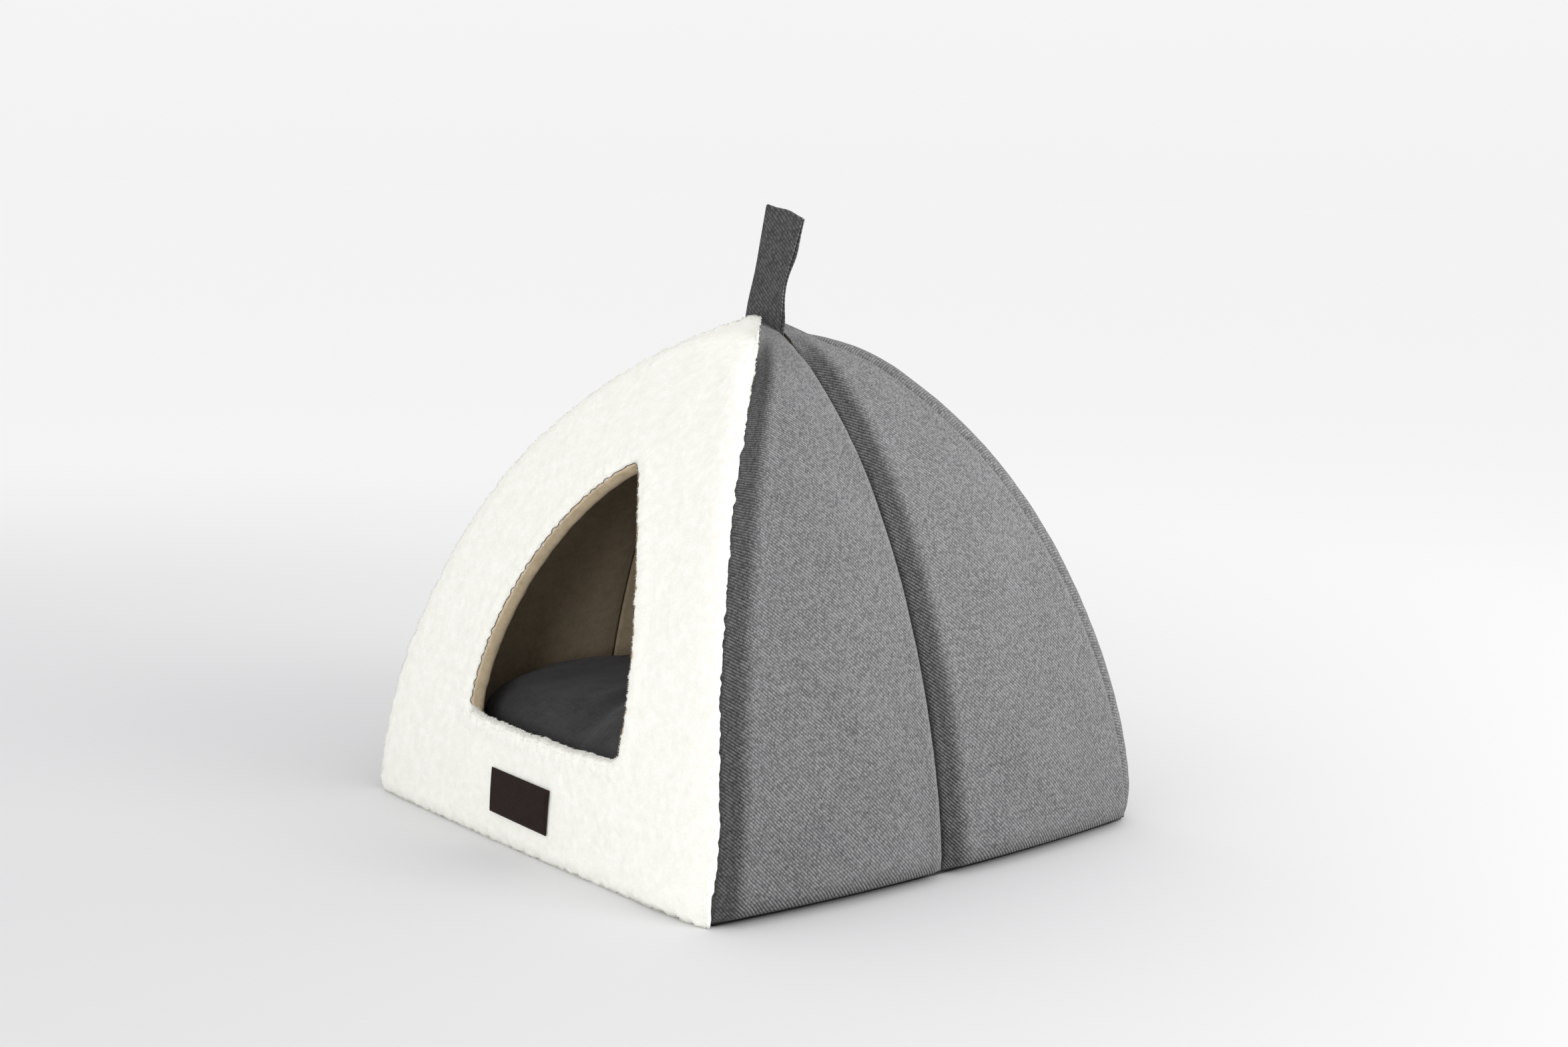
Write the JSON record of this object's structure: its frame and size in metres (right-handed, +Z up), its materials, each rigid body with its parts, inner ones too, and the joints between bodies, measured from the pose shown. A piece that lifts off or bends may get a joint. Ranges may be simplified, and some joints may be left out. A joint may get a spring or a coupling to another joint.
{
  "type": "padded pyramid pet cave with fleece front and strap loop",
  "caption": "Soft pyramid pet house with an arched doorway in a teddy fleece front, padded twill sides, a beige lining, a loose cushion and a carrying strap at the apex.",
  "frame": {"origin": "middle of the base, on the floor it stands on", "axes": "+Z up; the doorway faces -Y, +X is to the right of someone who looks in through the doorway"},
  "size_m": [0.4346, 0.4252, 0.4532],
  "materials": {
    "fleece": "cream teddy fleece, short curly pile",
    "twill": "mottled grey woven twill",
    "strap_twill": "dark grey woven twill, folded double",
    "lining": "plain beige woven lining",
    "base_cloth": "black woven base cloth",
    "cushion_cloth": "charcoal woven cushion cover",
    "patch_leather": "dark brown matt leather"
  },
  "bodies": {
    "root": {"front_panel": "fleece", "side_right_front": "twill", "side_right_back": "twill", "side_left_front": "twill", "side_left_back": "twill", "back_panel": "twill", "lining_front": "lining", "lining_right_front": "lining", "lining_right_back": "lining", "lining_left_front": "lining", "lining_left_back": "lining", "lining_back": "lining", "base_pad": "base_cloth", "cushion": "cushion_cloth", "handle_strap": "strap_twill", "label": "patch_leather"}
  },
  "joints": []
}
